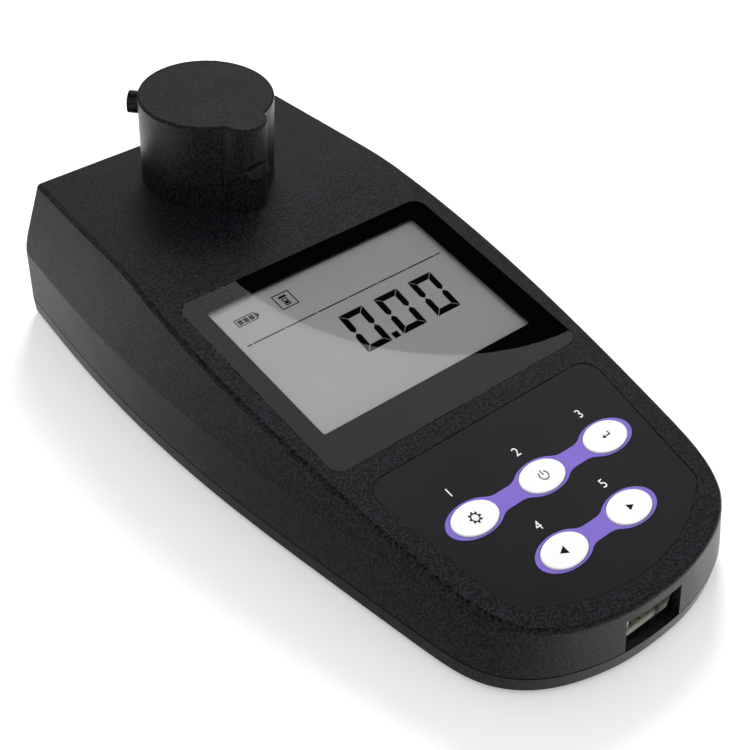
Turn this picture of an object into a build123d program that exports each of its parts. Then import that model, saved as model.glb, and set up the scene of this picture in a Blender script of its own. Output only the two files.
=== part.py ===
from build123d import *
from math import cos, radians, sin, tan
import os

# A portable turbidity meter: a wedge-shaped hand-held case with a display window and five keys
# on its sloped face, and a sample well under a round light-shield cap on its level rear deck.
# Millimetres. Origin under the middle of the case on the surface it stands on, +Z up,
# +Y towards the cap, +X to the right of someone who reads the display.

# Case
case_length = 168.8
foot_proud = 1.0
parting_height = 5.2
deck_height = 34.7
wall = 2.2
floor_thickness = 2.0
ridge_height = 17.7
rear_corner = 3.0
base_draft = 4.0
flank_draft = 20.0
tail_room = 4.0
rim_gap = 0.3
ridge_round = 1.2
base_chamfer = 0.5

# Sloped face
slope_angle = 8.5
window_y = 0.6
window_z = 28.3
slope_bend = 70.0

# Half widths of the case from the rear corner to the middle of the nose: at the parting line,
# and higher up at the ridge where the nearly upright wall turns into the leaning flank.
wall_stations = [
    (41.1, 83.6), (43.6, 59.6), (45.1, 28.6), (43.7, -4.4), (40.6, -32.4),
    (37.4, -57.4), (34.2, -69.9), (28.0, -77.1), (14.5, -82.9), (0.0, -84.4),
]
ridge_stations = [
    (41.1, 83.9), (43.3, 59.6), (44.7, 28.6), (43.1, -4.4), (39.6, -32.4),
    (35.7, -56.9), (32.5, -68.6), (26.8, -75.6), (13.8, -81.2), (0.0, -82.7),
]

# Display, measured in the sloped face
window_width = 70.0
window_length = 55.1
window_corner = 3.2
window_thickness = 1.2
window_fit = 0.1
mask_thickness = 0.1
view_width = 59.7
view_length = 39.5
view_x = -0.9
view_y = 2.0
glass_margin_x = 2.6
glass_margin_y = 3.0
glass_thickness = 2.0
light_thickness = 3.2
frame_wall = 1.4

# Keypad, measured in the sloped face
overlay_rear_y = -32.7
overlay_rear_half = 32.6
overlay_front_half = 27.6
overlay_corner_y = -69.6
overlay_front_y = -79.4
overlay_rear_corner = 4.2
overlay_front_corner = 3.2
overlay_thickness = 0.5
overlay_sink = 0.12
overlay_gap = 0.15
key_pitch = 18.9
upper_row_y = -51.0
lower_row_y = -66.8
key_half_width = 5.7
key_half_length = 3.8
bezel_half_width = 7.1
bezel_half_length = 4.25
neck_half = 2.15
neck_round = 5.0
key_clearance = 0.15
key_crown = 0.3
key_flange = 0.8
key_flange_thickness = 1.0
key_travel = 0.5
stem_radius = 1.5
switch_size = 5.0
switch_body = 2.2
plunger_radius = 1.2

# Main board, measured down from the sloped face
board_depth = 8.5
board_thickness = 1.6
board_front_y = -69.6
board_step_y = -34.0
board_rear_y = 35.0
board_rear_half = 35.0
board_front_half = 25.8
board_screw_places = [(31.0, 31.3), (-31.0, 31.3), (22.5, -40.0), (-22.5, -40.0), (0.0, -59.2)]
board_boss_radius = 2.4
board_screw_radius = 1.0
board_screw_head = 1.9
board_screw_length = 6.0

# Sample well and cap
well_y = 64.2
well_radius = 11.3
well_floor = 6.0
collar_wall = 2.4
collar_proud = 1.6
block_half_width = 19.5
block_front_reach = 15.6
block_rear_reach = 14.3
gasket_thickness = 1.0
vial_radius = 11.0
vial_wall = 1.3
vial_base = 2.0
vial_seat = 0.3
vial_glass_top = 43.0
vial_cap_height = 9.5
vial_cap_grooves = 24
beam_height = 20.0
port_radius = 2.7
lens_radius = 2.65
lens_edge = 0.6
lens_crown = 1.5
lens_setback = 0.7
cap_radius = 15.75
cap_height = 21.2
cap_wall = 1.5
cap_roof = 2.0
cap_rest = 0.1
cap_round = 0.7
lobe_radius = 5.6
lobe_reach = 3.9
crease_round = 1.6
button_half_width = 3.3
button_half_height = 2.1
button_proud = 0.7
button_gap = 0.5
button_recess = 0.7
cap_lug_radius = 2.6
cap_lug_reach = 3.4
cap_lug_angle = 43.0
cap_lug_drop = 4.2
cap_foam_thickness = 1.0

# Battery compartment
cell_radius = 5.25
cell_length = 44.5
cell_count = 4
cell_pitch = 10.7
first_cell_y = 8.1
cell_clearance = 0.35
contact_room = 3.2
bay_wall = 1.3
door_thickness = 1.6
door_fit = 0.25
door_half_width = 28.6
hinge_z = 2.3
hinge_reach = 3.0
hinge_barrel = 1.2
hinge_pin = 0.7
hinge_gap = 0.3

# Socket in the nose
socket_x = -1.5
socket_cutout_width = 15.7
socket_cutout_top = 13.1
socket_width = 13.2
socket_height = 5.9
socket_depth = 14.0
socket_skin = 0.4
socket_bottom = 6.3
socket_inset = 2.4
tongue_width = 11.1
tongue_thickness = 1.9
tongue_reach = 8.8
pin_count = 4
pin_pitch = 2.5
usb_board_reach = 18.6
usb_post_reach = 16.1

# Fasteners and feet
case_screw_places = [(36.5, 70.1), (-36.5, 70.1), (30.6, -50.4), (-30.6, -50.4)]
case_screw_radius = 1.25
case_screw_head = 2.5
case_screw_length = 12.0
case_boss_radius = 3.3
case_tube_radius = 4.1
foot_places = [(35.5, 55.6), (-35.5, 55.6), (26.0, -65.9), (-26.0, -65.9)]
foot_radius = 4.0
foot_recess = 0.7

# Places that follow from the sizes above
half_length = case_length / 2
base_height = foot_proud
floor_top = base_height + floor_thickness
case_top = deck_height + 3.0
rise = tan(radians(slope_angle))
slope = Plane(
    origin=(0, window_y, window_z),
    x_dir=(1, 0, 0),
    z_dir=(0, -sin(radians(slope_angle)), cos(radians(slope_angle))),
)
bend_y = window_y + (deck_height - window_z) / rise
shell_inner = -wall
window_bottom = -window_thickness
glass_top = -(wall + 0.1)
glass_bottom = glass_top - glass_thickness
light_bottom = glass_bottom - light_thickness
board_top = -board_depth
board_bottom = -(board_depth + board_thickness)
glass_width = view_width + 2 * glass_margin_x
glass_length = view_length + 2 * glass_margin_y
key_places = {
    "cal_key": (-key_pitch, upper_row_y),
    "measure_key": (0.0, upper_row_y),
    "enter_key": (key_pitch, upper_row_y),
    "left_key": (-key_pitch / 2, lower_row_y),
    "right_key": (key_pitch / 2, lower_row_y),
}
upper_row = [name for name in key_places if key_places[name][1] == upper_row_y]
lower_row = [name for name in key_places if key_places[name][1] == lower_row_y]
block_front_y = well_y - block_front_reach
block_rear_y = well_y + block_rear_reach
collar_radius = well_radius + collar_wall
block_top = deck_height - wall - gasket_thickness
cap_bottom = deck_height + cap_rest
cap_top = cap_bottom + cap_height
vial_bottom = well_floor + vial_seat
last_cell_y = first_cell_y + (cell_count - 1) * cell_pitch
bay_half_width = cell_length / 2 + contact_room
bay_front_y = first_cell_y - cell_radius - cell_clearance
bay_rear_y = last_cell_y + cell_radius + cell_clearance
cell_z = base_height + door_thickness + 0.3 + cell_radius
bay_top = cell_z + cell_radius + cell_clearance
door_rear_y = bay_rear_y + 1.6
hinge_y = bay_front_y - hinge_reach
mouth_y = -half_length + socket_inset

parts = {}


def block(x_low, x_high, y_low, y_high, z_low, z_high):
    """A rectangular block between two corners."""
    middle = ((x_low + x_high) / 2, (y_low + y_high) / 2, (z_low + z_high) / 2)
    return Pos(*middle) * Box(x_high - x_low, y_high - y_low, z_high - z_low)


def rod(radius, x, y, z_low, z_high):
    """An upright round bar."""
    return Pos(x, y, (z_low + z_high) / 2) * Cylinder(radius, z_high - z_low)


def cross_rod(radius, x_low, x_high, y, z):
    """A round bar that lies along X."""
    return Pos((x_low + x_high) / 2, y, z) * Rot(0, 90, 0) * Cylinder(radius, x_high - x_low)


def sheet(outline, z_low, z_high):
    """A flat outline given thickness between two heights."""
    return extrude(Pos(0, 0, z_low) * outline, z_high - z_low)


def on_slope(shape):
    """Moves a shape drawn in the sloped face to its place on the case."""
    return slope.location * shape


def inset_stations(stations, inset, tail_inset):
    """Moves the sides and nose of an outline inwards, square to the outline, and its tail forwards."""
    points = [Vector(half_width, y) for half_width, y in stations]
    moved = [Vector(points[0].X - inset, points[0].Y - tail_inset)]
    for before, here, after in zip(points, points[1:], points[2:]):
        along = (after - before).normalized()
        moved.append(here + Vector(along.Y, -along.X) * inset)
    moved.append(points[-1] + Vector(0, inset))
    return moved


def case_outline(stations, inset, tail_inset, height):
    """The plan outline of the case: straight tail, bowed sides and a round nose."""
    points = inset_stations(stations, inset, tail_inset)
    tail_lean = (points[1] - points[0]).normalized()
    side = Spline(*points, tangents=[tail_lean, Vector(-1, 0)])
    tail = Line((-points[0].X, points[0].Y), points[0])
    face = make_face([side, mirror(side, about=Plane.YZ), tail])
    corners = face.vertices().filter_by(lambda corner: corner.Y > points[0].Y - 1)
    return Pos(0, 0, height) * fillet(corners, rear_corner)


def wall_outline(height, inset):
    """The outer wall's outline at a height, between its parting line and its ridge or past them."""
    share = (height - parting_height) / (ridge_height - parting_height)
    stations = [
        (low[0] + (high[0] - low[0]) * share, low[1] + (high[1] - low[1]) * share)
        for low, high in zip(wall_stations, ridge_stations)
    ]
    return case_outline(stations, inset, inset, height)


def upper_walls(inset, low, high):
    """The body inside the upper walls."""
    return loft([wall_outline(low, inset), wall_outline(high, inset)], ruled=True)


def leaning_flanks(inset, low, high):
    """The body inside the flanks, which lean in from the ridge and pass behind the tail."""
    faces = []
    for height in (low, high):
        lean = tan(radians(flank_draft)) * (height - ridge_height)
        faces.append(case_outline(ridge_stations, inset + lean, -tail_room, height))
    return loft(faces, ruled=True)


def base_outline(height, inset):
    """The lower wall's outline at a height; it leans in towards the base."""
    inset += tan(radians(base_draft)) * (parting_height - height)
    return case_outline(wall_stations, inset, inset, height)


def under_top(drop, low):
    """Everything under the level deck and the sloped face, lowered by a wall."""
    far = half_length + 10
    deck = deck_height - drop
    bend = bend_y - drop * tan(radians(slope_angle / 2))
    nose = deck - (bend + far) * rise
    profile = Polyline((far, low), (far, deck), (bend, deck), (-far, nose), (-far, low), close=True)
    face = make_face(profile)
    soft = face.vertices().sort_by_distance((bend, deck, 0))[0]
    face = fillet(soft, slope_bend)
    upright = Plane(origin=(0, 0, 0), x_dir=(0, 1, 0), z_dir=(1, 0, 0))
    return extrude(upright.location * face, far, both=True)


def case_form(inset, drop, low):
    """The closed form of the upper case, or of its hollow when it is inset by the wall."""
    walls = upper_walls(inset, low, case_top)
    flanks = leaning_flanks(inset, low, case_top)
    return walls & flanks & under_top(drop, low)


def rounded_sheet(width, length, corner, z_low, z_high, x=0.0, y=0.0):
    """A flat plate with round corners."""
    return Pos(x, y, 0) * sheet(RectangleRounded(width, length, corner), z_low, z_high)


def overlay_outline(grow=0.0):
    """The keypad's outline: straight rear edge, sides that taper in and a bowed front."""
    rear = overlay_rear_y + grow
    corner = overlay_corner_y
    front_half = overlay_front_half + grow
    face = make_face([
        Line((-overlay_rear_half - grow, rear), (overlay_rear_half + grow, rear)),
        Line((overlay_rear_half + grow, rear), (front_half, corner)),
        ThreePointArc((front_half, corner), (0, overlay_front_y - grow), (-front_half, corner)),
        Line((-front_half, corner), (-overlay_rear_half - grow, rear)),
    ])
    rear_corners = face.vertices().group_by(Axis.Y)[-1]
    face = fillet(rear_corners, overlay_rear_corner)
    front_corners = face.vertices().filter_by(lambda vertex: abs(vertex.Y - corner) < 0.5)
    return fillet(front_corners, overlay_front_corner)


def bezel_outline(names, grow=0.0):
    """Ovals round a row of keys, joined by necks with hollow sides."""
    middles = [key_places[name] for name in names]
    row_y = middles[0][1]
    reach = max(abs(x) for x, y in middles)
    band = Pos(0, row_y, 0) * Rectangle(2 * reach, 2 * (neck_half + grow))
    for x, y in middles:
        band += Pos(x, y, 0) * Ellipse(bezel_half_width + grow, bezel_half_length + grow)
    inner = band.vertices().filter_by(
        lambda vertex: abs(abs(vertex.Y - row_y) - neck_half - grow) < 0.2
    )
    return fillet(inner, neck_round)


def key_outline(grow=0.0):
    """The oval of one key."""
    return Ellipse(key_half_width + grow, key_half_length + grow)


# Upper shell: the hollow top of the case, with its bosses, recesses and holes
def make_upper_shell():
    outside = case_form(0.0, 0.0, parting_height + rim_gap / 2)
    nose_top = window_z - (window_y + half_length) * rise
    ridges = outside.edges().filter_by(lambda edge: edge.bounding_box().min.Z > nose_top - 4)
    outside = fillet(ridges, ridge_round)
    hollow = case_form(wall, wall, parting_height - 1.0)
    shell = outside - hollow
    for x, y in case_screw_places:
        boss = rod(case_boss_radius, x, y, parting_height + rim_gap / 2, case_top)
        shell += boss & outside
    for x, y in board_screw_places:
        shell += on_slope(rod(board_boss_radius, x, y, board_top, shell_inner + 0.5))
    for x, y in case_screw_places:
        shell -= rod(case_screw_radius, x, y, 0, 3.4 + case_screw_length)
    for x, y in board_screw_places:
        shell -= on_slope(rod(board_screw_radius, x, y, board_bottom, shell_inner - 0.4))
    window_room = rounded_sheet(
        window_width + 2 * window_fit, window_length + 2 * window_fit,
        window_corner + window_fit, window_bottom - mask_thickness, 2.0,
    )
    view_hole = rounded_sheet(view_width + 3.0, view_length + 3.0, 1.0, -6.0, 2.0, view_x, view_y)
    keypad_room = sheet(overlay_outline(overlay_gap), -overlay_thickness, 2.0)
    shell -= on_slope(window_room) + on_slope(view_hole) + on_slope(keypad_room)
    for x, y in key_places.values():
        shell -= on_slope(Pos(x, y, 0) * sheet(key_outline(key_clearance), -5.0, 1.0))
    shell -= rod(collar_radius + 0.3, 0, well_y, block_top, case_top)
    shell -= block(
        socket_x - socket_cutout_width / 2, socket_x + socket_cutout_width / 2,
        -half_length - 5, -half_length + 8, 0, socket_cutout_top,
    )
    return shell


# Lower shell: the tray with the battery bay, screw tubes, hinge ears and foot recesses
def make_lower_shell():
    rim = parting_height - rim_gap / 2
    tray = loft([
        base_outline(base_height, base_chamfer),
        base_outline(base_height + base_chamfer, 0.0),
        base_outline(rim, 0.0),
    ], ruled=True)
    tray -= loft([base_outline(floor_top, wall), base_outline(rim + 1, wall)], ruled=True)
    lip_out = upper_walls(wall + 0.15, floor_top, parting_height + 1.4)
    lip_in = upper_walls(wall + 1.15, floor_top - 1, parting_height + 2)
    socket_gap = block(
        socket_x - 12.5, socket_x + 12.5,
        -half_length - 5, -half_length + 12, rim, parting_height + 3,
    )
    lip = lip_out - lip_in - socket_gap
    for x, y in case_screw_places:
        lip -= rod(case_boss_radius + 0.3, x, y, rim, parting_height + 3)
    tray += lip
    tray += block(
        -bay_half_width - bay_wall, bay_half_width + bay_wall,
        bay_front_y - bay_wall, bay_rear_y + bay_wall, floor_top - 0.5, bay_top + bay_wall,
    )
    tray += block(
        -door_half_width - 3, door_half_width + 3,
        hinge_y - 3.5, door_rear_y + 0.8, base_height, base_height + door_thickness + 1.9,
    )
    for x, y in case_screw_places:
        tray += rod(case_tube_radius, x, y, base_height, rim)
    for x, y in foot_places:
        tray += rod(foot_radius + 1.2, x, y, base_height, floor_top + 0.8)
    tray += block(-block_half_width, block_half_width, block_front_y, block_front_y + 6,
                  floor_top - 0.5, well_floor - 2.0)
    tray += block(-block_half_width, block_half_width, block_rear_y - 6, block_rear_y,
                  floor_top - 0.5, well_floor - 2.0)
    for x in (socket_x - 8.5, socket_x + 8.5):
        tray += rod(2.2, x, mouth_y + usb_post_reach, floor_top - 0.5, socket_bottom - 1.6)
    for x, y in case_screw_places:
        tray -= rod(case_screw_head + 0.3, x, y, 0, 3.4)
        tray -= rod(case_screw_radius + 0.3, x, y, 0, 10)
    for x, y in foot_places:
        tray -= rod(foot_radius + 0.1, x, y, 0, base_height + foot_recess)
    tray -= block(-bay_half_width, bay_half_width, bay_front_y, bay_rear_y, 0, bay_top)
    tray -= block(
        -door_half_width - door_fit, door_half_width + door_fit,
        hinge_y, door_rear_y + door_fit, 0, base_height + door_thickness + 0.15,
    )
    barrel_reach = door_half_width + door_fit
    tray -= cross_rod(hinge_barrel + hinge_gap, -barrel_reach, barrel_reach, hinge_y, hinge_z)
    tray -= block(-barrel_reach, barrel_reach, hinge_y - hinge_barrel - hinge_gap, hinge_y, 0, hinge_z)
    tray -= cross_rod(hinge_pin + 0.1, -barrel_reach - 2.2, barrel_reach + 2.2, hinge_y, hinge_z)
    return tray


# Gasket in the joint between the shells
def make_case_gasket():
    rim = parting_height - rim_gap / 2
    outer = upper_walls(0.5, rim, rim + rim_gap)
    inner = upper_walls(wall - 0.1, rim - 1, rim + 1)
    gap = block(
        socket_x - socket_cutout_width / 2, socket_x + socket_cutout_width / 2,
        -half_length - 5, -half_length + 8, 0, 10,
    )
    ring = outer - inner - gap
    for x, y in case_screw_places:
        ring -= rod(case_tube_radius + 0.1, x, y, 0, 10)
    return ring


# Display stack
def make_display():
    parts["display_window"] = on_slope(rounded_sheet(
        window_width, window_length, window_corner, window_bottom, 0.0))
    mask = rounded_sheet(
        window_width, window_length, window_corner, window_bottom - mask_thickness, window_bottom)
    mask -= rounded_sheet(view_width, view_length, 0.6, -3, 0, view_x, view_y)
    parts["window_mask"] = on_slope(mask)
    parts["lcd_glass"] = on_slope(rounded_sheet(
        glass_width, glass_length, 0.4, glass_bottom, glass_top, view_x, view_y))
    parts["backlight"] = on_slope(rounded_sheet(
        view_width, view_length - 1.0, 0.6, light_bottom, glass_bottom, view_x, view_y))
    strip_y = view_length / 2 + 1.3
    strips = [
        Pos(view_x, view_y + side * strip_y, (glass_bottom + board_top) / 2)
        * Box(view_width - 4, 2.0, glass_bottom - board_top)
        for side in (-1, 1)
    ]
    parts["zebra_strips"] = Compound(children=[on_slope(strip) for strip in strips])
    room = rounded_sheet(glass_width + 0.2, glass_length + 0.2, 0.5, -20, 5, view_x, view_y)
    frame = rounded_sheet(
        glass_width + 2 * frame_wall, glass_length + 2 * frame_wall, 1.2,
        board_top, shell_inner - 0.05, view_x, view_y)
    frame -= room
    shelf = rounded_sheet(
        glass_width + 0.4, glass_length + 0.4, 0.5, light_bottom - 0.9, light_bottom, view_x, view_y)
    shelf -= rounded_sheet(view_width - 10, view_length - 10, 1.0, -20, 5, view_x, view_y)
    for strip in strips:
        shelf -= Pos(*strip.center()) * Box(view_width - 3.6, 2.4, 20)
    parts["lcd_frame"] = on_slope(frame + shelf)


# Keypad: overlay, the two bezels, five keys and their switches
def make_key():
    """One key, drawn round its own middle in the sloped face."""
    top = sheet(key_outline(), shell_inner - 0.2, key_crown)
    top = fillet(top.edges().group_by(Axis.Z)[-1], 0.25)
    flange_top = shell_inner - 0.1
    flange = sheet(key_outline(key_flange), flange_top - key_flange_thickness, flange_top)
    stem_bottom = board_top + switch_body + 1.6 + key_travel + 0.1
    stem = rod(stem_radius, 0, 0, stem_bottom, flange_top - 0.5)
    return top + flange + stem


def make_keypad():
    overlay = sheet(overlay_outline(), -overlay_thickness, -overlay_sink)
    for names in (upper_row, lower_row):
        overlay -= sheet(bezel_outline(names, 0.05), -2, 2)
    parts["keypad_overlay"] = on_slope(overlay)
    for node, names in (("upper_key_bezel", upper_row), ("lower_key_bezel", lower_row)):
        bezel = sheet(bezel_outline(names), -overlay_thickness, 0.0)
        for name in names:
            x, y = key_places[name]
            bezel -= Pos(x, y, 0) * sheet(key_outline(key_clearance), -2, 2)
        parts[node] = on_slope(bezel)
    key = make_key()
    for name, (x, y) in key_places.items():
        parts[name] = on_slope(Pos(x, y, 0) * key)
    switches = []
    for x, y in key_places.values():
        body = block(-switch_size / 2, switch_size / 2, -switch_size / 2, switch_size / 2,
                     board_top, board_top + switch_body)
        plunger = rod(plunger_radius, 0, 0, board_top, board_top + switch_body + 1.6)
        switches.append(on_slope(Pos(x, y, 0) * (body + plunger)))
    parts["key_switches"] = Compound(children=switches)


# Main board, its screws and what is soldered to it
def make_board():
    outline = make_face(Polyline(
        (-board_rear_half, board_rear_y), (board_rear_half, board_rear_y),
        (board_rear_half, board_step_y), (board_front_half, board_step_y),
        (board_front_half, board_front_y), (-board_front_half, board_front_y),
        (-board_front_half, board_step_y), (-board_rear_half, board_step_y), close=True,
    ))
    board = sheet(outline, board_bottom, board_top)
    screws = []
    for x, y in board_screw_places:
        board -= rod(board_screw_radius + 0.2, x, y, board_bottom - 1, board_top + 1)
        head = rod(board_screw_head, x, y, board_bottom - 1.2, board_bottom)
        shank = rod(board_screw_radius, x, y, board_bottom, board_bottom + board_screw_length)
        screws.append(on_slope(head + shank))
    parts["main_board"] = on_slope(board)
    parts["board_screws"] = Compound(children=screws)
    buzzer = rod(6.0, 24.0, -20.0, board_bottom - 4.0, board_bottom)
    buzzer -= rod(1.0, 24.0, -20.0, board_bottom - 5.0, board_bottom - 2.5)
    parts["buzzer"] = on_slope(buzzer)
    chips = [
        block(-6.0, 6.0, -30.0, -18.0, board_bottom - 1.5, board_bottom),
        block(-19.0, -12.0, -46.0, -39.0, board_bottom - 1.2, board_bottom),
        block(9.0, 15.0, -48.0, -43.0, board_bottom - 1.2, board_bottom),
    ]
    parts["board_chips"] = Compound(children=[on_slope(chip) for chip in chips])


# Optical block with the sample well, and the light source and detectors round it
def make_optics():
    body = block(-block_half_width, block_half_width, block_front_y, block_rear_y,
                 well_floor - 2.0, block_top)
    body = fillet(body.edges().filter_by(Axis.Z), 2.0)
    body += rod(collar_radius, 0, well_y, block_top - 1, deck_height + collar_proud)
    body -= rod(well_radius, 0, well_y, well_floor, deck_height + 20)
    rim = body.edges().group_by(Axis.Z)[-1]
    body = chamfer(rim, 0.4)
    body -= cross_rod(port_radius, -block_half_width - 1, block_half_width + 1, well_y, beam_height)
    front_port = Pos(0, (block_front_y + well_y) / 2, beam_height) * Rot(90, 0, 0)
    body -= front_port * Cylinder(port_radius, well_y - block_front_y + 2)
    parts["optical_block"] = body

    lamp_x = -block_half_width
    lamp = cross_rod(2.5, lamp_x + 0.2, lamp_x + 3.2, well_y, beam_height)
    lamp += Pos(lamp_x + 3.2, well_y, beam_height) * Sphere(2.5)
    lamp += cross_rod(2.65, lamp_x, lamp_x + 1.0, well_y, beam_height)
    parts["infrared_lamp"] = lamp
    lens_back = -well_radius - lens_setback - lens_crown
    swell = lens_crown - lens_edge
    dome_radius = (lens_radius ** 2 + swell ** 2) / (2 * swell)
    dome = Rot(0, 90, 0) * Sphere(dome_radius)
    dome = Pos(lens_back + lens_crown - dome_radius, well_y, beam_height) * dome
    lens_bar = cross_rod(lens_radius, lens_back, lens_back + lens_crown + 1.0, well_y, beam_height)
    parts["beam_lens"] = lens_bar & dome
    parts["lamp_board"] = block(lamp_x - 1.6, lamp_x, well_y - 7, well_y + 7,
                                beam_height - 7, beam_height + 7)
    far_x = block_half_width
    parts["transmission_detector"] = cross_rod(2.5, far_x - 3.0, far_x, well_y, beam_height)
    parts["transmission_board"] = block(far_x, far_x + 1.6, well_y - 7, well_y + 7,
                                        beam_height - 7, beam_height + 7)
    scatter = Pos(0, block_front_y + 1.1, beam_height) * Rot(90, 0, 0) * Cylinder(2.5, 2.2)
    parts["scatter_detector"] = scatter
    parts["scatter_board"] = block(-7, 7, block_front_y - 1.2, block_front_y,
                                   beam_height - 3.2, beam_height + 7)
    gasket = rod(collar_radius + 2.2, 0, well_y, block_top, block_top + gasket_thickness)
    gasket -= rod(collar_radius + 0.1, 0, well_y, 0, 60)
    seat = block(-block_half_width, block_half_width, block_front_y, block_rear_y, 0, 60)
    parts["well_gasket"] = gasket & seat


# Sample vial and its screw cap
def make_vial():
    glass = rod(vial_radius, 0, well_y, vial_bottom, vial_glass_top)
    glass = fillet(glass.edges().group_by(Axis.Z)[0], 1.5)
    glass -= rod(vial_radius - vial_wall, 0, well_y, vial_bottom + vial_base, vial_glass_top + 1)
    neck_low = vial_glass_top - vial_cap_height + 2.5
    glass -= (rod(vial_radius + 1, 0, well_y, neck_low, 60) - rod(vial_radius - 1.0, 0, well_y, 0, 70))
    glass += (rod(vial_radius - 1.0, 0, well_y, neck_low - 2, vial_glass_top)
              - rod(vial_radius - 2.2, 0, well_y, 0, 70))
    parts["sample_vial"] = glass
    cap_low = neck_low + 0.1
    lid = rod(vial_radius - 0.05, 0, well_y, cap_low, cap_low + vial_cap_height)
    lid = fillet(lid.edges().group_by(Axis.Z)[-1], 0.8)
    lid -= rod(vial_radius - 0.95, 0, well_y, 0, vial_glass_top + 0.05)
    groove = Pos(vial_radius + 0.2, 0, cap_low + vial_cap_height / 2) * Box(0.8, 0.7, vial_cap_height - 2.4)
    for step in range(vial_cap_grooves):
        lid -= Pos(0, well_y, 0) * Rot(0, 0, step * 360 / vial_cap_grooves) * groove
    parts["vial_cap"] = lid


# Light-shield cap: a deep round cap with a thumb lobe at the front and two small lugs behind
def make_cap():
    middle = Pos(0, well_y, 0)
    round_part = Circle(cap_radius)
    lobe = Pos(0, -cap_radius + lobe_radius - lobe_reach, 0) * Circle(lobe_radius)
    body = sheet(round_part + lobe, cap_bottom, cap_top)
    creases = body.edges().filter_by(lambda edge: edge.bounding_box().size.Z > cap_height - 1)
    creases = creases.filter_by(lambda edge: edge.center().Y < -lobe_radius)
    body = middle * fillet(creases, crease_round)
    body = fillet(body.edges().group_by(Axis.Z)[-1], cap_round)
    for side in (-1, 1):
        lug = Pos(0, cap_radius + cap_lug_reach / 2 - 1.4, 0) * Rot(90, 0, 0)
        lug = lug * Cylinder(cap_lug_radius, cap_lug_reach + 1.0)
        turned = Rot(0, 0, side * cap_lug_angle) * lug
        body += middle * Pos(0, 0, cap_top - cap_lug_drop) * turned
    body -= rod(cap_radius - cap_wall, 0, well_y, 0, cap_top - cap_roof)
    lobe_front = well_y - cap_radius - lobe_reach
    button_place = Pos(0, lobe_front, (cap_bottom + cap_top) / 2 - 1.0) * Rot(90, 0, 0)
    recess = Ellipse(button_half_width + button_gap, button_half_height + button_gap)
    body -= button_place * extrude(recess, button_recess, both=True)
    oval = Ellipse(button_half_width, button_half_height)
    button = sheet(oval, -button_recess - 1.2, button_proud)
    button = fillet(button.edges().group_by(Axis.Z)[-1], button_proud)
    body += button_place * button
    parts["light_shield_cap"] = body
    foam = rod(cap_radius - cap_wall - 0.2, 0, well_y,
               cap_top - cap_roof - cap_foam_thickness, cap_top - cap_roof)
    parts["cap_foam"] = foam


# Battery door on its hinge, the cells and their contacts
def make_battery():
    plate = block(-door_half_width, door_half_width, hinge_y, door_rear_y,
                  base_height, base_height + door_thickness)
    rear_corners = plate.edges().filter_by(Axis.Z).sort_by(Axis.Y)[-2:]
    plate = fillet(rear_corners, 2.0)
    barrel = cross_rod(hinge_barrel, -door_half_width, door_half_width, hinge_y, hinge_z)
    pins = cross_rod(hinge_pin, -door_half_width - 2.0, door_half_width + 2.0, hinge_y, hinge_z)
    door = plate + barrel + pins
    for row in range(3):
        door -= block(-9, 9, door_rear_y - 6 - 2.4 * row, door_rear_y - 4.8 - 2.4 * row,
                      0, base_height + 0.5)
    parts["battery_door"] = door
    cells = []
    contacts = []
    for number in range(cell_count):
        y = first_cell_y + number * cell_pitch
        turn = 1 if number % 2 == 0 else -1
        can = cross_rod(cell_radius, -cell_length / 2, cell_length / 2 - 1.0, 0, 0)
        nub = cross_rod(1.9, cell_length / 2 - 1.2, cell_length / 2, 0, 0)
        cells.append(Pos(0, y, cell_z) * Rot(0, 0, 0 if turn == 1 else 180) * (can + nub))
        plate_x = turn * (bay_half_width - 0.25)
        contacts.append(Pos(plate_x, y, cell_z) * Box(0.5, 8.6, 8.6))
        spring_room = contact_room - 0.5
        for turn_number in range(3):
            radius = 3.4 - 0.7 * turn_number
            coil_x = bay_half_width - 0.8 - turn_number * spring_room / 3.4
            coil = cross_rod(radius + 0.3, -0.3, 0.3, 0, 0) - cross_rod(radius - 0.3, -1, 1, 0, 0)
            contacts.append(Pos(-turn * coil_x, y, cell_z) * coil)
        contacts.append(Pos(-plate_x, y, cell_z) * Box(0.5, 8.6, 8.6))
    parts["cells"] = Compound(children=cells)
    parts["battery_contacts"] = Compound(children=contacts)


# Socket in the nose: metal shell, insulator with its tongue, contacts and small board
def make_socket():
    back_y = mouth_y + socket_depth
    left = socket_x - socket_width / 2
    right = socket_x + socket_width / 2
    top = socket_bottom + socket_height
    shell = block(left, right, mouth_y, back_y, socket_bottom, top)
    shell = fillet(shell.edges().filter_by(Axis.Y), 0.8)
    shell -= block(left + socket_skin, right - socket_skin, mouth_y - 1, back_y - socket_skin,
                   socket_bottom + socket_skin, top - socket_skin)
    parts["usb_shell"] = shell
    inner_top = top - socket_skin
    tongue_top = inner_top - 0.8
    insulator = block(left + socket_skin, right - socket_skin, back_y - socket_skin - 3.0,
                      back_y - socket_skin, socket_bottom + socket_skin, inner_top)
    insulator += block(
        socket_x - tongue_width / 2, socket_x + tongue_width / 2,
        back_y - socket_skin - 3.0 - tongue_reach, back_y - socket_skin - 2.5,
        tongue_top - tongue_thickness, tongue_top)
    parts["usb_insulator"] = insulator
    strips = []
    for number in range(pin_count):
        x = socket_x + (number - (pin_count - 1) / 2) * pin_pitch
        strips.append(block(
            x - 0.5, x + 0.5, back_y - socket_skin - 2.6 - tongue_reach,
            back_y - socket_skin - 3.0, tongue_top - tongue_thickness - 0.2,
            tongue_top - tongue_thickness))
    parts["usb_contacts"] = Compound(children=strips)
    parts["usb_board"] = block(socket_x - 11, socket_x + 11, mouth_y + 3.0, mouth_y + usb_board_reach,
                               socket_bottom - 1.6, socket_bottom)


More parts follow.
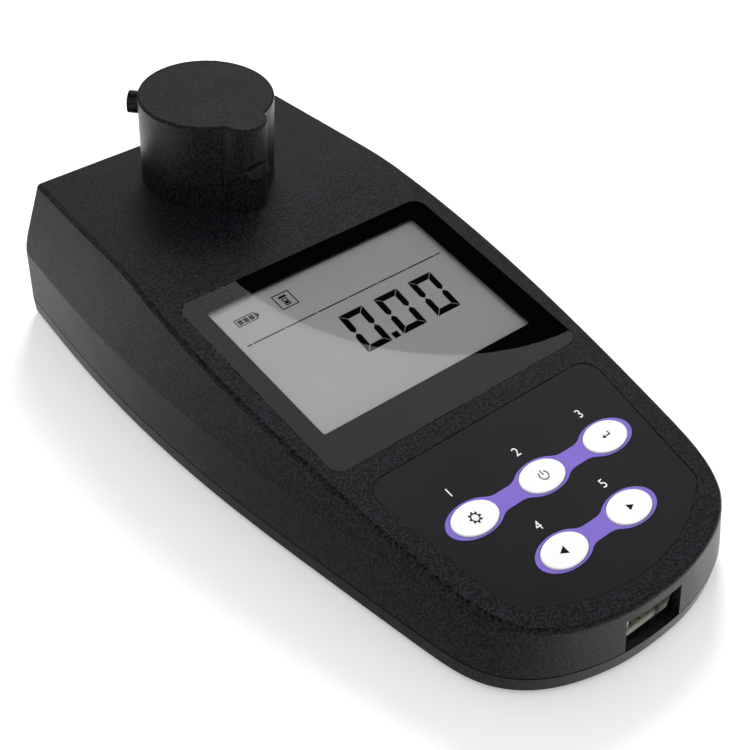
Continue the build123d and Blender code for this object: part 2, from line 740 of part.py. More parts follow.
# Screws through the base and the rubber feet
def make_fasteners():
    screws = []
    for x, y in case_screw_places:
        head = rod(case_screw_head, x, y, 1.6, 3.4)
        shank = rod(case_screw_radius, x, y, 3.4, 3.4 + case_screw_length)
        slot = Box(3.0, 0.7, 1.2)
        head -= Pos(x, y, 1.6) * slot
        head -= Pos(x, y, 1.6) * Rot(0, 0, 90) * slot
        screws.append(head + shank)
    parts["case_screws"] = Compound(children=screws)
    feet = []
    for x, y in foot_places:
        foot = rod(foot_radius, x, y, 0, base_height + foot_recess)
        feet.append(fillet(foot.edges().group_by(Axis.Z)[0], 0.5))
    parts["rubber_feet"] = Compound(children=feet)


parts["upper_shell"] = make_upper_shell()
parts["lower_shell"] = make_lower_shell()
parts["case_gasket"] = make_case_gasket()
make_display()
make_keypad()
make_board()
make_optics()
make_vial()
make_cap()
make_battery()
make_socket()
make_fasteners()

os.makedirs("parts", exist_ok=True)
for name, shape in parts.items():
    export_step(shape, f"parts/{name}.step")
    print(name, len(shape.solids()), round(shape.volume, 1))
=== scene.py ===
import math

import bmesh
import bpy
from mathutils import Matrix, Vector


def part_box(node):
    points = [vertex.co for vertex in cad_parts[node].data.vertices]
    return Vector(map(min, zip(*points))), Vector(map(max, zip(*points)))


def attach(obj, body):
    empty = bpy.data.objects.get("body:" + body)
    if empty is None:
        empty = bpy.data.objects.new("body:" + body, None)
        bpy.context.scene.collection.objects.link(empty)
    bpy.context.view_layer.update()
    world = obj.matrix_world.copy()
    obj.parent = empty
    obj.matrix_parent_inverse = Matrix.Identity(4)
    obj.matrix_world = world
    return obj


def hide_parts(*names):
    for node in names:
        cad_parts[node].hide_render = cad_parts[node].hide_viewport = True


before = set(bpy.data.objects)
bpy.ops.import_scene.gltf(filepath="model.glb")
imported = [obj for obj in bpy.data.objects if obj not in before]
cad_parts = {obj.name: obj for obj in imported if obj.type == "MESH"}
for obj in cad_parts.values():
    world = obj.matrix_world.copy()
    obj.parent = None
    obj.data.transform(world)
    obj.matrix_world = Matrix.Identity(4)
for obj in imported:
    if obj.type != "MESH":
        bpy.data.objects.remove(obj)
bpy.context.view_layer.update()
MM = 0.001

# The case: two charcoal ABS shells and a battery door, injection moulded against a spark-eroded
# steel face. The erosion leaves a fine dull grain, so light spreads over it in soft patches; the
# grain's pits are painted near black as the shade that falls in them.


def linear(hex_colour):
    """An sRGB hex colour as the linear RGBA that a shader socket takes."""
    channels = [int(hex_colour[i:i + 2], 16) / 255 for i in (1, 3, 5)]
    return [c / 12.92 if c <= 0.04045 else ((c + 0.055) / 1.055) ** 2.4 for c in channels] + [1.0]


def new_material(name, **settings):
    """A material with one Principled surface, whose sockets are set by name."""
    material = bpy.data.materials.new(name)
    material.use_nodes = True
    surface = material.node_tree.nodes["Principled BSDF"]
    for socket, value in settings.items():
        surface.inputs[socket.replace("_", " ")].default_value = value
    return material


def add_node(material, kind, options=None, inputs=None, links=None):
    """Adds one shader node: its options, its input values, and links from other nodes' outputs."""
    node = material.node_tree.nodes.new(kind)
    for name, value in (options or {}).items():
        setattr(node, name, value)
    for socket, value in (inputs or {}).items():
        node.inputs[socket].default_value = value
    for socket, source in (links or {}).items():
        material.node_tree.links.new(source, node.inputs[socket])
    return node


def join(material, source, socket):
    """Links an output to a socket of the material's Principled surface."""
    surface = material.node_tree.nodes["Principled BSDF"]
    material.node_tree.links.new(source, surface.inputs[socket])


def colour_steps(ramp_node, steps):
    """Sets the stops of a colour ramp from places and hex colours."""
    ramp = ramp_node.color_ramp
    while len(ramp.elements) < len(steps):
        ramp.elements.new(0.5)
    for element, (place, colour) in zip(ramp.elements, steps):
        element.position = place
        element.color = linear(colour)


def finish(material, *names):
    """Gives CAD nodes a finished material in place of their plain one."""
    for name in names:
        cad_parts[name].material_slots[0].material = material


def noise(material, size_mm, detail=2.0, **settings):
    """Noise in the piece's own coordinates, with spots about as wide as a size in millimetres."""
    place = add_node(material, "ShaderNodeTexCoord").outputs["Object"]
    return add_node(
        material, "ShaderNodeTexNoise",
        inputs={"Scale": 1 / (size_mm * MM), "Detail": detail, **settings},
        links={"Vector": place}).outputs["Fac"]


def tint(material, source, steps):
    """Colours the surface by a value, through a colour ramp."""
    ramp = add_node(material, "ShaderNodeValToRGB", links={"Fac": source})
    colour_steps(ramp, steps)
    join(material, ramp.outputs["Color"], "Base Color")


def vary_gloss(material, source, low, high):
    """Lets the surface's roughness follow a value."""
    spread = add_node(
        material, "ShaderNodeMapRange", inputs={"To Min": low, "To Max": high},
        links={"Value": source})
    join(material, spread.outputs["Result"], "Roughness")


def roughen(material, source, strength, depth_mm):
    """Lets a value push the surface in and out."""
    bump = add_node(
        material, "ShaderNodeBump", inputs={"Strength": strength, "Distance": depth_mm * MM},
        links={"Height": source})
    join(material, bump.outputs["Normal"], "Normal")


def place_piece(name, data, material):
    """Puts a finished mesh with its material into the scene, at the origin."""
    data.materials.append(material)
    piece = bpy.data.objects.new(name, data)
    bpy.context.scene.collection.objects.link(piece)
    return piece


def mesh_piece(name, mesh, material):
    """Turns a bmesh into a piece and frees it."""
    data = bpy.data.meshes.new(name)
    mesh.to_mesh(data)
    mesh.free()
    return place_piece(name, data, material)


def spark_grain_and_pit_shade(name, pit_shade, face, roughness, grain_mm=0.55, depth_mm=0.05):
    """ABS from a spark-eroded tool: pits as wide as the grain, painted dark as shade, against the
    face.
    """
    gloss_spread = 0.06
    patch_mm = 6
    pit_shade_end = 0.45
    face_start = 0.56
    material = new_material(name, IOR=1.5)
    grain = noise(material, grain_mm, detail=1.0, Roughness=0.6)
    # The pit stop is painted shade in the grain's pits; the face stop is the plastic's own charcoal.
    tint(material, grain, [(pit_shade_end, pit_shade), (face_start, face)])
    patches = noise(material, patch_mm, detail=3.0)
    vary_gloss(material, patches, roughness - gloss_spread, roughness + gloss_spread)
    roughen(material, grain, 0.6, depth_mm)
    return material


# The first colour is painted shade in the grain's pits, the second the case's charcoal.
case_abs = spark_grain_and_pit_shade("charcoal_spark_grain_abs", "#010102", "#1F2027", roughness=0.46)
finish(case_abs, "upper_shell", "lower_shell", "battery_door")

# The silicone gaskets in the joint and round the well, and the rubber feet under the case. Soft
# moulded rubber scatters light evenly and shows a slight powdery bloom.

rubber = new_material("moulded_black_rubber", Roughness=0.8, IOR=1.45)
bloom = noise(rubber, 0.8)
tint(rubber, bloom, [(0.35, "#121213"), (0.7, "#222223")])
roughen(rubber, bloom, 0.3, 0.02)
finish(rubber, "case_gasket", "well_gasket", "rubber_feet")

# The display window: polished clear acrylic, cemented flush into the sloped face. Black ink
# screen-printed on its back leaves a clear rectangle over the display. The print's face lies
# just inside the acrylic, so the two never share a plane.

acrylic = new_material(
    "polished_clear_acrylic", Base_Color=linear("#FFFFFF"), Roughness=0.0, IOR=1.49,
    Transmission_Weight=1.0)
finish(acrylic, "display_window")
mask_ink = new_material("black_screen_ink", Roughness=0.7, Specular_IOR_Level=0.0)
tint(mask_ink, noise(mask_ink, 0.3), [(0.4, "#010101"), (0.6, "#020202")])

slope_angle = math.radians(8.5)
window_width = 70.0
window_length = 55.1
window_corner = 3.2
window_thickness = 1.2
window_low, window_high = (Vector(corner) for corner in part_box("display_window"))
slope_normal = Vector((0, -math.sin(slope_angle), math.cos(slope_angle)))
window_centre = (window_low + window_high) / 2 + slope_normal * window_thickness / 2 * MM
slope_frame = Matrix.Translation(window_centre) @ Matrix.Rotation(slope_angle, 4, "X")
opening_low = (-30.0, -17.55)
opening_high = (29.35, 23.1)
opening_corner = 0.6
print_inset = 0.02
print_thickness = 0.1
print_top = print_inset - window_thickness
print_bottom = -print_thickness - window_thickness


def rounded_loop(mesh, low, high, corner, height, steps=8):
    """The edges of a rectangle with round corners."""
    x_middle, y_middle = (low[0] + high[0]) / 2, (low[1] + high[1]) / 2
    verts = []
    for x_side, y_side, start in ((1, 1, 0), (-1, 1, 90), (-1, -1, 180), (1, -1, 270)):
        for number in range(steps + 1):
            turn = math.radians(start + 90 * number / steps)
            x = x_middle + x_side * ((high[0] - low[0]) / 2 - corner) + corner * math.cos(turn)
            y = y_middle + y_side * ((high[1] - low[1]) / 2 - corner) + corner * math.sin(turn)
            verts.append(mesh.verts.new((x * MM, y * MM, height * MM)))
    return [mesh.edges.new(pair) for pair in zip(verts, verts[1:] + verts[:1])]


print_mesh = bmesh.new()
half_size = (window_width / 2, window_length / 2)
print_edges = rounded_loop(
    print_mesh, (-half_size[0], -half_size[1]), half_size, window_corner, print_top)
print_edges += rounded_loop(print_mesh, opening_low, opening_high, opening_corner, print_top)
bmesh.ops.bridge_loops(print_mesh, edges=print_edges)
lowered = bmesh.ops.extrude_face_region(print_mesh, geom=print_mesh.faces[:])
low_verts = [item for item in lowered["geom"] if isinstance(item, bmesh.types.BMVert)]
bmesh.ops.translate(print_mesh, verts=low_verts, vec=(0, 0, (print_bottom - print_top) * MM))
bmesh.ops.recalc_face_normals(print_mesh, faces=print_mesh.faces)
print_mesh.transform(slope_frame)
window_print = mesh_piece("window_print", print_mesh, mask_ink)
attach(window_print, "root")
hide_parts("window_mask")

# The display: pale grey liquid crystal glass that shows a reading in dark segments, a dashed rule,
# and two symbols. The segments are films a few hundredths of a millimetre thick on its face.

lcd_grey = new_material(
    "liquid_crystal_grey", Roughness=0.45, Coat_Weight=1.0, Coat_IOR=1.6, Coat_Roughness=0.06)
tint(lcd_grey, noise(lcd_grey, 25, detail=1.0), [(0.3, "#B2B4B6"), (0.7, "#B6B8BA")])
finish(lcd_grey, "lcd_glass")

lcd_face = -2.3
segment_film = 0.04


def flat_pieces(name, outlines, low, high, material, body):
    """Outlines in millimetres on the sloped face, each a thin solid between two depths."""
    mesh = bmesh.new()
    for outline in outlines:
        corners = [mesh.verts.new((x * MM, y * MM, low * MM)) for x, y in outline]
        raised = bmesh.ops.extrude_face_region(mesh, geom=[mesh.faces.new(corners)])
        top = [item for item in raised["geom"] if isinstance(item, bmesh.types.BMVert)]
        bmesh.ops.translate(mesh, verts=top, vec=(0, 0, (high - low) * MM))
    bmesh.ops.recalc_face_normals(mesh, faces=mesh.faces)
    mesh.transform(slope_frame)
    piece = mesh_piece(name, mesh, material)
    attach(piece, body)


def bar(x_low, x_high, y_low, y_high):
    """A rectangle as four corners."""
    return [(x_low, y_low), (x_high, y_low), (x_high, y_high), (x_low, y_high)]


def hollow_box(x_low, x_high, y_low, y_high, stroke):
    """A hollow rectangle as four bars."""
    return [
        bar(x_low, x_high, y_low, y_low + stroke),
        bar(x_low, x_high, y_high - stroke, y_high),
        bar(x_low, x_low + stroke, y_low + stroke, y_high - stroke),
        bar(x_high - stroke, x_high, y_low + stroke, y_high - stroke),
    ]


lcd_black = new_material(
    "driven_lcd_segment", Base_Color=linear("#050506"), Roughness=0.6, Specular_IOR_Level=0.0)
digit_height = 11.9
digit_width = 6.9
digit_stroke = 1.65
digit_gap = 0.1
digit_lean = 0.085
digit_base = -4.1
digit_lefts = (-6.6, 3.65, 13.9)


def digit_zero(left):
    """The six lit segments of a zero, with mitred ends, leaning to the right."""
    w, h, s, g = digit_width, digit_height, digit_stroke, digit_gap
    waist = h / 2 - g
    bottom = [(g, 0), (w - g, 0), (w - s - g, s), (s + g, s)]
    lower_left = [(0, g), (s, s + g), (s, waist - s / 2), (s / 2, waist), (0, waist - s / 2)]
    lower_right = [(w - x, y) for x, y in reversed(lower_left)]
    lower_half = (bottom, lower_left, lower_right)
    upper_half = [[(x, h - y) for x, y in reversed(shape)] for shape in lower_half]
    return [
        [(left + x + y * digit_lean, digit_base + y) for x, y in shape]
        for shape in (*lower_half, *upper_half)
    ]


point_size = 1.7
point_left = digit_lefts[0] + digit_width + 0.9
reading = [outline for left in digit_lefts for outline in digit_zero(left)]
reading.append(bar(point_left, point_left + point_size, digit_base, digit_base + point_size))
flat_pieces("display_reading", reading, lcd_face, lcd_face + segment_film,
            lcd_black, "root")

rule_y = 11.35
rule_half = 0.15
rule_left = -27.7
dash_count = 6
dash_pitch = 8.8
dash_gap = 0.4
end_tick = 1.3
rule = [bar(rule_left, rule_left + end_tick, rule_y - rule_half, rule_y + rule_half)]
for number in range(dash_count):
    dash_left = rule_left + end_tick + dash_gap + number * dash_pitch
    rule.append(bar(
        dash_left, dash_left + dash_pitch - dash_gap, rule_y - rule_half, rule_y + rule_half))
tick_left = rule_left + end_tick + dash_gap + dash_count * dash_pitch
rule.append(bar(tick_left, tick_left + end_tick, rule_y - rule_half, rule_y + rule_half))
flat_pieces("display_rule", rule, lcd_face, lcd_face + segment_film, lcd_black, "root")

thin_stroke = 0.24
battery_symbol = hollow_box(-25.9, -20.5, 16.75, 19.05, thin_stroke)
battery_symbol += [bar(x, x + 1.2, 17.25, 18.55) for x in (-25.3, -23.8, -22.3)]
battery_symbol.append([(-20.5, 17.15), (-19.8, 17.6), (-19.8, 18.2), (-20.5, 18.65)])
vial_symbol = hollow_box(-14.5, -9.9, 15.95, 20.55, thin_stroke)
vial_symbol.append(bar(-13.2, -11.2, 19.1, 19.7))
vial_symbol += hollow_box(-12.9, -11.5, 16.65, 18.85, thin_stroke)
vial_symbol.append(bar(-12.55, -11.85, 17.05, 18.05))
flat_pieces("display_symbols", battery_symbol + vial_symbol, lcd_face, lcd_face + segment_film,
            lcd_black, "root")

# The keypad overlay: a polyester film with a satin face, printed charcoal on its back and laid in
# a shallow recess of the case. Its fine satin coat blurs what it mirrors.

film = new_material("satin_polyester_film", Roughness=0.42, IOR=1.5)
tint(film, noise(film, 20), [(0.35, "#121316"), (0.65, "#16171A")])
roughen(film, noise(film, 0.25, detail=1.0), 0.12, 0.01)
finish(film, "keypad_overlay")

# Two violet bezels round the keys: moulded plastic with a low gloss. They lie flush in the film,
# one round the upper three keys and one round the lower two.


def smooth_moulding(name, base, light, roughness, cloud_mm=4.0):
    """A plain moulded plastic: its colour drifts a little, and its gloss is slightly uneven."""
    gloss_spread = 0.04
    material = new_material(name, IOR=1.5)
    cloud = noise(material, cloud_mm, detail=3.0)
    tint(material, cloud, [(0.35, base), (0.65, light)])
    vary_gloss(material, cloud, roughness - gloss_spread, roughness + gloss_spread)
    return material


violet = smooth_moulding("violet_moulded_plastic", "#8068CA", "#846CCD", 0.45)
finish(violet, "upper_key_bezel", "lower_key_bezel")

# Five white keys with a low crown, moulded in a matt plastic. Each has its symbol pad-printed in
# dark ink and rides with its key.

key_white = smooth_moulding("white_moulded_key", "#F7F7F8", "#FAFAFB", 0.55)
finish(key_white, "cal_key", "measure_key", "enter_key", "left_key", "right_key")

symbol_ink = new_material("dark_pad_print", Base_Color=linear("#08090A"), Roughness=0.6, IOR=1.45)
key_pitch = 18.9
upper_row_y = -51.0
lower_row_y = -66.8
key_top = 0.3
print_film = 0.03
print_sink = 0.01


def ring_pieces(x, y, outer, inner, start, end, steps):
    """A flat ring or arc as a run of four-sided pieces."""
    pieces = []
    for number in range(steps):
        angles = [math.radians(start + (end - start) * (number + add) / steps) for add in (0, 1)]
        near, far = [(math.cos(angle), math.sin(angle)) for angle in angles]
        pieces.append([
            (x + inner * near[0], y + inner * near[1]), (x + outer * near[0], y + outer * near[1]),
            (x + outer * far[0], y + outer * far[1]), (x + inner * far[0], y + inner * far[1]),
        ])
    return pieces


def spoke(x, y, inner, outer, half, angle):
    """A short bar that points out from a middle."""
    along = Vector((math.cos(angle), math.sin(angle)))
    across = Vector((-along.y, along.x)) * half
    middle = Vector((x, y))
    points = (middle + along * inner - across, middle + along * outer - across,
              middle + along * outer + across, middle + along * inner + across)
    return [(point.x, point.y) for point in points]


gear_teeth = 8
gear = ring_pieces(-key_pitch, upper_row_y, 1.08, 0.8, 0, 360, 24)
gear += [
    spoke(-key_pitch, upper_row_y, 0.95, 1.45, 0.22, math.tau * number / gear_teeth)
    for number in range(gear_teeth)
]
power_x = 0.3
power = ring_pieces(power_x, upper_row_y - 0.1, 1.2, 0.95, 125, 415, 24)
power.append(bar(power_x - 0.12, power_x + 0.12, upper_row_y, upper_row_y + 1.3))
enter_x = key_pitch + 0.3
enter_low = upper_row_y - 0.2
enter = [
    bar(enter_x - 0.6, enter_x + 1.1, enter_low, enter_low + 0.28),
    bar(enter_x + 0.82, enter_x + 1.1, enter_low + 0.28, enter_low + 1.0),
    [(enter_x - 1.2, enter_low + 0.14), (enter_x - 0.45, enter_low - 0.36),
     (enter_x - 0.45, enter_low + 0.64)],
]
left_x = -key_pitch / 2 - 0.4
left_arrow = [[(left_x - 1.05, lower_row_y - 0.1), (left_x + 0.75, lower_row_y - 1.05),
               (left_x + 0.75, lower_row_y + 0.95)]]
right_x = key_pitch / 2 + 0.1
right_arrow = [[(right_x + 0.95, lower_row_y - 0.1), (right_x - 0.6, lower_row_y + 0.75),
                (right_x - 0.6, lower_row_y - 0.85)]]
symbols = {
    "cal_key": gear,
    "measure_key": power,
    "enter_key": enter,
    "left_key": left_arrow,
    "right_key": right_arrow,
}
for key, pieces in symbols.items():
    flat_pieces(key + "_symbol", pieces, key_top - print_sink, key_top + print_film,
                symbol_ink, key)

# Five plain numerals, one over each key, screen-printed in white ink on the film. Each is a thin
# mesh made from a text outline.

numeral_ink = new_material("white_screen_ink", Base_Color=linear("#F0F0F2"), Roughness=0.5, IOR=1.45)
film_face = -0.12
numeral_size = 3.1
numeral_depth = 0.02
upper_label_y = upper_row_y + 7.6
lower_label_y = lower_row_y + 7.3
numeral_places = (
    ("1", -key_pitch, upper_label_y), ("2", 0, upper_label_y), ("3", key_pitch, upper_label_y),
    ("4", -key_pitch / 2, lower_label_y), ("5", key_pitch / 2, lower_label_y),
)
for text, x, y in numeral_places:
    letters = bpy.data.curves.new("numeral_outline", "FONT")
    letters.body = text
    letters.size = numeral_size * MM
    letters.align_x = "CENTER"
    letters.align_y = "CENTER"
    letters.extrude = numeral_depth * MM
    outline = bpy.data.objects.new("numeral_outline", letters)
    data = bpy.data.meshes.new_from_object(outline)
    bpy.data.objects.remove(outline)
    data.transform(slope_frame @ Matrix.Translation((x * MM, y * MM, film_face * MM)))
    data.materials.clear()
    numeral = place_piece("numeral_" + text, data, numeral_ink)
    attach(numeral, "root")

# The light-shield cap: a deep cap moulded in the same grained ABS, a little glossier than the
# case. A closed-cell foam disc in its roof presses on the vial and keeps light out.

# The first colour is painted shade in the grain's pits, the second the cap's charcoal.
cap_abs = spark_grain_and_pit_shade("charcoal_cap_abs", "#020203", "#1D1E24", roughness=0.43)
finish(cap_abs, "light_shield_cap")

foam = new_material("closed_cell_foam", Roughness=0.9, IOR=1.4)
foam_place = add_node(foam, "ShaderNodeTexCoord").outputs["Object"]
foam_cells = add_node(
    foam, "ShaderNodeTexVoronoi", inputs={"Scale": 1 / (0.7 * MM)},
    links={"Vector": foam_place}).outputs["Distance"]
tint(foam, foam_cells, [(0.0, "#0E0E0F"), (0.5, "#2A2A2C")])
roughen(foam, foam_cells, 0.8, 0.15)
finish(foam, "cap_foam")

# The sample vial: a clear borosilicate tube with a flat base and a ribbed black screw cap. Fired
# white enamel marks the filling line and the arrow that is turned to the front.

vial_glass = new_material(
    "borosilicate_glass", Base_Color=linear("#FFFFFF"), Roughness=0.0, IOR=1.474,
    Transmission_Weight=1.0)
finish(vial_glass, "sample_vial", "beam_lens")
phenolic = smooth_moulding("black_phenolic", "#101011", "#151516", 0.3)
finish(phenolic, "vial_cap")

enamel = smooth_moulding("fired_white_enamel", "#EDEDEA", "#F4F4F2", 0.4)
vial_low, vial_high = (Vector(corner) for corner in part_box("sample_vial"))
vial_axis = (vial_low + vial_high) / 2
vial_radius = (vial_high.x - vial_low.x) / 2
enamel_film = 0.04 * MM
line_height = 0.7 * MM
line_z = vial_high.z - 14 * MM
arrow_height = 4 * MM
arrow_top = line_z - 2 * MM
arrow_half_angle = math.radians(11)


def enamel_patch(name, low, high, half_angle, sharp):
    """A thin patch that follows the tube's wall, centred on the side that faces the keys."""
    mesh = bmesh.new()
    radius = vial_radius + enamel_film / 2
    first = mesh.verts.new((0, -radius, low))
    second = mesh.verts.new((0, -radius, high))
    edge = mesh.edges.new((first, second))
    steps = 96 if half_angle > math.radians(90) else 12
    for turn in (half_angle, -half_angle):
        bmesh.ops.spin(
            mesh, geom=[first, second, edge], axis=(0, 0, 1), cent=(0, 0, 0),
            angle=turn, steps=steps // 2, use_merge=False)
    bmesh.ops.remove_doubles(mesh, verts=mesh.verts, dist=0.001 * MM)
    if sharp:
        for vert in mesh.verts:
            if vert.co.z < (low + high) / 2:
                turn = math.atan2(vert.co.x, -vert.co.y)
                vert.co = Matrix.Rotation(-turn * 0.999, 3, "Z") @ vert.co
        bmesh.ops.remove_doubles(mesh, verts=mesh.verts, dist=0.02 * MM)
    bmesh.ops.recalc_face_normals(mesh, faces=mesh.faces)
    bmesh.ops.solidify(mesh, geom=mesh.faces, thickness=enamel_film)
    bmesh.ops.translate(mesh, verts=mesh.verts, vec=(vial_axis.x, vial_axis.y, 0))
    patch = mesh_piece(name, mesh, enamel)
    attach(patch, "vial")


enamel_patch("vial_filling_line", line_z, line_z + line_height, math.radians(180), False)
enamel_patch("vial_arrow", arrow_top - arrow_height, arrow_top, arrow_half_angle, True)

# The optical block in matt black ABS, whose grain swallows stray light round the sample. The
# display's frame is moulded in the same plastic.

# The first colour is painted shade in the grain's pits, the second the block's black.
inner_abs = spark_grain_and_pit_shade("matt_black_abs", "#030303", "#141415", roughness=0.62)
finish(inner_abs, "optical_block", "lcd_frame")

# The circuit boards: glass-filled epoxy under green solder mask, screwed or pushed into the case.
# The weave of the glass just shows through.

solder_mask = new_material("green_solder_mask", Roughness=0.3, IOR=1.5)
weave = noise(solder_mask, 0.6, detail=1.0)
tint(solder_mask, weave, [(0.4, "#12502B"), (0.6, "#1B6236")])
roughen(solder_mask, weave, 0.2, 0.02)
finish(solder_mask, "main_board", "lamp_board", "transmission_board", "scatter_board", "usb_board")

# What sits on the boards: black epoxy packages and switches, the detectors, the tinted lamp, the
# contact strips of the display and its white diffuser.

epoxy = smooth_moulding("black_moulding_epoxy", "#141415", "#1C1C1D", 0.5, cloud_mm=0.6)
finish(epoxy, "board_chips", "buzzer", "key_switches")
filter_epoxy = smooth_moulding("infrared_filter_epoxy", "#09080A", "#0D0B0E", 0.12)
finish(filter_epoxy, "transmission_detector", "scatter_detector")
lamp_epoxy = new_material(
    "tinted_lamp_epoxy", Base_Color=linear("#B9B6E6"), Roughness=0.05, IOR=1.53,
    Transmission_Weight=0.9)
finish(lamp_epoxy, "infrared_lamp")
elastomer = smooth_moulding("contact_elastomer", "#A8827A", "#BC968C", 0.7, cloud_mm=1.0)
finish(elastomer, "zebra_strips")
diffuser = smooth_moulding("white_diffuser", "#EDEFEF", "#F4F6F6", 0.5)
finish(diffuser, "backlight")

# Screws of zinc-plated steel, and nickel-plated springs, contact plates and socket shell. Plating
# mirrors sharply but keeps the faint lines of rolling and forming.


def plated_metal(name, base, light, roughness, line_mm):
    """Plated metal: a mirror with fine drawn lines in its gloss."""
    material = new_material(name, Metallic=1.0)
    place = add_node(material, "ShaderNodeTexCoord").outputs["Object"]
    stretch = add_node(
        material, "ShaderNodeMapping", inputs={"Scale": (0.1, 1.0, 1.0)}, links={"Vector": place})
    lines = add_node(
        material, "ShaderNodeTexNoise", inputs={"Scale": 1 / (line_mm * MM), "Detail": 2.0},
        links={"Vector": stretch.outputs["Vector"]}).outputs["Fac"]
    tint(material, lines, [(0.35, base), (0.65, light)])
    vary_gloss(material, lines, roughness - 0.06, roughness + 0.1)
    return material


zinc = plated_metal("zinc_plated_steel", "#B4B6B9", "#C2C4C6", 0.3, 0.3)
finish(zinc, "board_screws", "case_screws")
nickel = plated_metal("nickel_plated_steel", "#D2D0CA", "#DEDCD6", 0.2, 0.25)
finish(nickel, "battery_contacts", "usb_shell")
gold = plated_metal("gold_flash", "#DDB75C", "#EBC872", 0.2, 0.2)
finish(gold, "usb_contacts")
nylon = smooth_moulding("white_nylon", "#DEDEDC", "#E6E6E4", 0.45)
finish(nylon, "usb_insulator")

# Four AAA cells in plain steel jackets, which lie between the springs and contact plates. Their
# lacquer is dark blue with fine flecks under it.

cell_jacket = new_material("lacquered_cell_jacket", Roughness=0.25, IOR=1.5)
tint(cell_jacket, noise(cell_jacket, 0.3, detail=1.0), [(0.4, "#1F3A57"), (0.6, "#29486A")])
finish(cell_jacket, "cells")

# The floor: a white sweep under the meter. Glossy faces mirror it as a soft pool of light, which
# is dim beside the meter's left side and fades out further away.

floor_mesh = bmesh.new()
bmesh.ops.create_grid(floor_mesh, x_segments=1, y_segments=1, size=4.0)
floor_white = new_material(
    "white_sweep", Base_Color=linear("#F2F2F2"), Roughness=0.9, Specular_IOR_Level=0.0)
floor_rays = add_node(floor_white, "ShaderNodeLightPath").outputs
floor_place = add_node(floor_white, "ShaderNodeTexCoord").outputs["Object"]
dark_corner = (-0.085, -0.055)
squeeze = 1.7
stretched = add_node(
    floor_white, "ShaderNodeMapping", {"vector_type": "POINT"},
    {"Scale": (squeeze, 1.0, 1.0),
     "Location": (-dark_corner[0] * squeeze, -dark_corner[1], 0.0)},
    {"Vector": floor_place})
from_corner = add_node(
    floor_white, "ShaderNodeVectorMath", {"operation": "LENGTH"},
    links={0: stretched.outputs["Vector"]}).outputs["Value"]
from_meter = add_node(
    floor_white, "ShaderNodeVectorMath", {"operation": "LENGTH"},
    links={0: floor_place}).outputs["Value"]
rise = add_node(
    floor_white, "ShaderNodeMapRange",
    {"interpolation_type": "SMOOTHSTEP"},
    {"From Min": 0.05, "From Max": 0.24, "To Min": 0.22, "To Max": 1.75},
    {"Value": from_corner}).outputs["Result"]
fade = add_node(
    floor_white, "ShaderNodeMapRange",
    inputs={"From Min": 0.14, "From Max": 0.30, "To Min": 1.0, "To Max": 0.03},
    links={"Value": from_meter}).outputs["Result"]
pool = add_node(
    floor_white, "ShaderNodeMath", {"operation": "MULTIPLY"}, links={0: rise, 1: fade}).outputs[0]
mirrored_floor = add_node(floor_white, "ShaderNodeEmission", links={"Strength": pool})
floor_mirrored = add_node(
    floor_white, "ShaderNodeMath", {"operation": "SUBTRACT", "use_clamp": True},
    links={0: floor_rays["Is Glossy Ray"], 1: floor_rays["Is Transmission Ray"]}).outputs[0]
camera_lift = add_node(
    floor_white, "ShaderNodeMath", {"operation": "MULTIPLY"}, {1: 0.3},
    {0: floor_rays["Is Camera Ray"]}).outputs[0]
lift = add_node(floor_white, "ShaderNodeEmission", links={"Strength": camera_lift})
lit_floor = add_node(
    floor_white, "ShaderNodeAddShader",
    links={0: floor_white.node_tree.nodes["Principled BSDF"].outputs["BSDF"],
           1: lift.outputs["Emission"]})
floor_mix = add_node(
    floor_white, "ShaderNodeMixShader",
    links={0: floor_mirrored, 1: lit_floor.outputs["Shader"],
           2: mirrored_floor.outputs["Emission"]})
floor_output = floor_white.node_tree.nodes["Material Output"]
floor_white.node_tree.links.new(floor_mix.outputs["Shader"], floor_output.inputs["Surface"])
floor = mesh_piece("floor", floor_mesh, floor_white)


def direction(azimuth, elevation):
    """A unit vector from an azimuth, counted from +X towards +Y, and an elevation."""
    flat = math.cos(math.radians(elevation))
    turn = math.radians(azimuth)
    return Vector((flat * math.cos(turn), flat * math.sin(turn), math.sin(math.radians(elevation))))


# The surround: white to the camera, and a band of soft light at mid height to glossy faces. Rays
# through the window find it bright, except where the window's own mirror image would fall.

world = bpy.data.worlds.new("studio")
bpy.context.scene.world = world
world.use_nodes = True
world_rays = add_node(world, "ShaderNodeLightPath").outputs
toward = add_node(world, "ShaderNodeTexCoord").outputs["Generated"]
height = add_node(world, "ShaderNodeSeparateXYZ", links={0: toward}).outputs["Z"]
band_foot = add_node(
    world, "ShaderNodeMapRange", {"interpolation_type": "SMOOTHSTEP"},
    {"From Min": 0.2, "From Max": 0.5}, {"Value": height}).outputs["Result"]
band_head = add_node(
    world, "ShaderNodeMapRange", {"interpolation_type": "SMOOTHSTEP"},
    {"From Min": 0.56, "From Max": 0.70, "To Min": 1.0, "To Max": 0.0},
    {"Value": height}).outputs["Result"]
band = add_node(
    world, "ShaderNodeMath", {"operation": "MULTIPLY"},
    links={0: band_foot, 1: band_head}).outputs[0]
mirrored_sky = add_node(
    world, "ShaderNodeMapRange", inputs={"To Min": 0.02, "To Max": 0.6},
    links={"Value": band}).outputs["Result"]
off_flag = add_node(
    world, "ShaderNodeVectorMath", {"operation": "DOT_PRODUCT"},
    {1: direction(36, 50)}, {0: toward}).outputs["Value"]
window_sky = add_node(
    world, "ShaderNodeMapRange", {"interpolation_type": "SMOOTHSTEP"},
    {"From Min": 0.85, "From Max": 0.93, "To Min": 1.3, "To Max": 0.0},
    {"Value": off_flag}).outputs["Result"]
mirrored = add_node(
    world, "ShaderNodeMath", {"operation": "SUBTRACT", "use_clamp": True},
    links={0: world_rays["Is Glossy Ray"], 1: world_rays["Is Transmission Ray"]}).outputs[0]
diffuse_level = 0.62
camera_level = 1.0
level = diffuse_level
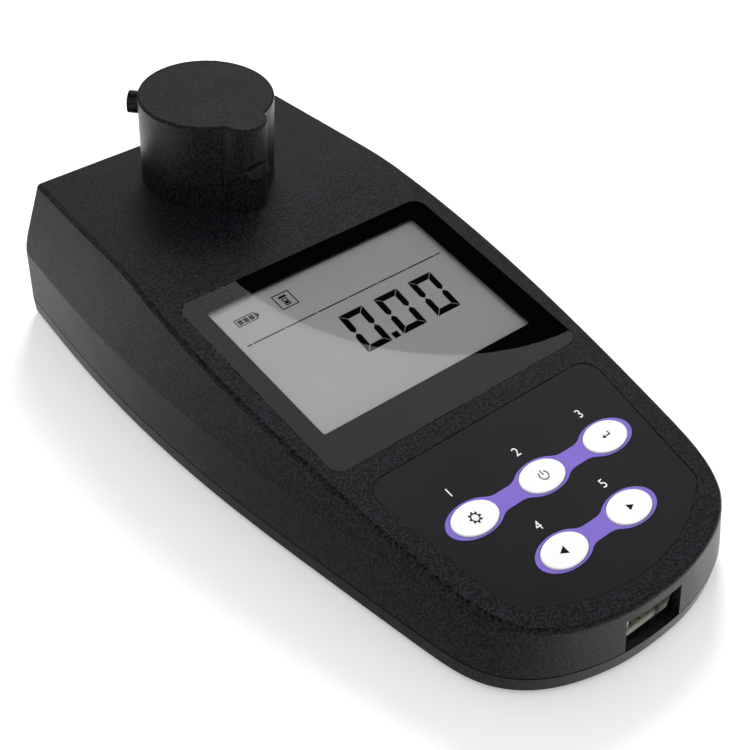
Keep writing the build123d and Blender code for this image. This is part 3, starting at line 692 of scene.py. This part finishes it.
for ray, seen in (
    (mirrored, mirrored_sky), (world_rays["Is Transmission Ray"], window_sky),
    (world_rays["Is Camera Ray"], camera_level),
):
    mix = add_node(world, "ShaderNodeMix", {"data_type": "FLOAT"}, links={0: ray})
    for socket, part in ((2, level), (3, seen)):
        if isinstance(part, float):
            mix.inputs[socket].default_value = part
        else:
            world.node_tree.links.new(part, mix.inputs[socket])
    level = mix.outputs[0]
surround = world.node_tree.nodes["Background"]
surround.inputs["Color"].default_value = linear("#FFFFFF")
world.node_tree.links.new(level, surround.inputs["Strength"])


def mirror_card(name, mesh, strength):
    """A glowing card that shows only in mirrors and through clear pieces."""
    glow = bpy.data.materials.new(name + "_glow")
    glow.use_nodes = True
    emission = add_node(glow, "ShaderNodeEmission", inputs={"Strength": strength})
    glow.node_tree.links.new(
        emission.outputs["Emission"], glow.node_tree.nodes["Material Output"].inputs["Surface"])
    card = mesh_piece(name, mesh, glow)
    card.visible_camera = False
    card.visible_diffuse = False
    card.visible_shadow = False


# A ring light over the meter, seen only in mirrors. The window mirrors a part of it, with a clean
# curved edge.

ring_height = 0.663
ring_middle = (0.657, 0.576)
ring_inner = 0.230
ring_outer = 0.440
ring_mesh = bmesh.new()
for radius in (ring_inner, ring_outer):
    bmesh.ops.create_circle(ring_mesh, cap_ends=False, segments=96, radius=radius)
bmesh.ops.bridge_loops(ring_mesh, edges=ring_mesh.edges)
ring_mesh.transform(slope_frame @ Matrix.Translation((*ring_middle, ring_height)))
ring_strength = 0.92
mirror_card("ring_light", ring_mesh, ring_strength)


def softbox(name, place, target, width, level):
    """A square soft lamp that faces a point and lights it at a level, but stays out of mirrors."""
    lamp = bpy.data.lights.new(name, "AREA")
    lamp.size = width
    reach = Vector(place) - Vector(target)
    lamp.energy = level * math.pi ** 2 * reach.length_squared
    holder = bpy.data.objects.new(name, lamp)
    holder.location = place
    holder.rotation_euler = reach.to_track_quat("Z", "Y").to_euler()
    holder.visible_glossy = False
    holder.visible_transmission = False
    bpy.context.scene.collection.objects.link(holder)


middle = Vector((0, 0, 0.02))
key_level = 0.82
fill_level = 0.12
softbox("key_softbox", middle + direction(48, 38), middle, 0.35, key_level)
softbox("fill_softbox", middle + direction(200, 60), middle, 0.6, fill_level)

# The camera: it stands where the photograph was taken from, and shows everything sharp.

camera_data = bpy.data.cameras.new("camera")
camera_data.sensor_width = 36
camera_data.lens = 69.08
camera_data.clip_start = 0.01
camera = bpy.data.objects.new("camera", camera_data)
camera_right = Vector((0.756027, -0.652951, 0.04559))
camera_up = Vector((0.400764, 0.516848, 0.756476))
camera_turn = Matrix((camera_right, camera_up, camera_right.cross(camera_up))).transposed()
camera_place = (-0.168279, -0.178554, 0.224971)
camera.matrix_world = Matrix.Translation(camera_place) @ camera_turn.to_4x4()
bpy.context.scene.collection.objects.link(camera)
bpy.context.scene.camera = camera
bpy.context.scene.view_settings.view_transform = "Standard"
